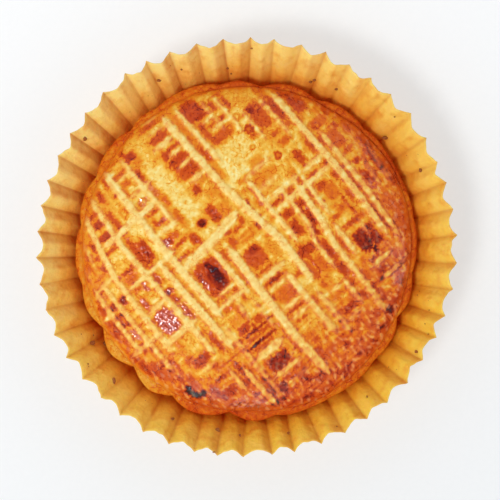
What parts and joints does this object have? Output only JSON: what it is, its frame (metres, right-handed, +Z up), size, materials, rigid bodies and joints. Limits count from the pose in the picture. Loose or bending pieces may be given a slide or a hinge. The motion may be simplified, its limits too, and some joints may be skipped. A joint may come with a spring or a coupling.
{
  "type": "caramel walnut pie in a paper case",
  "caption": "Round shallow short-crust pie with a domed lid scored in a lattice of fork lines, sitting in a wider pleated baking case whose fluted wall flares out above the crust.",
  "frame": {"origin": "on the table, under the middle of the paper case's rim", "axes": "+Z up out of the lid; +X and +Y are the picture's right and top, seen from above"},
  "size_m": [0.1502, 0.1499, 0.032],
  "materials": {
    "baked_crust": "satin",
    "buttery_paper": "matte"
  },
  "bodies": {
    "root": {"pie": "baked_crust", "paper_case": "buttery_paper"}
  },
  "joints": []
}
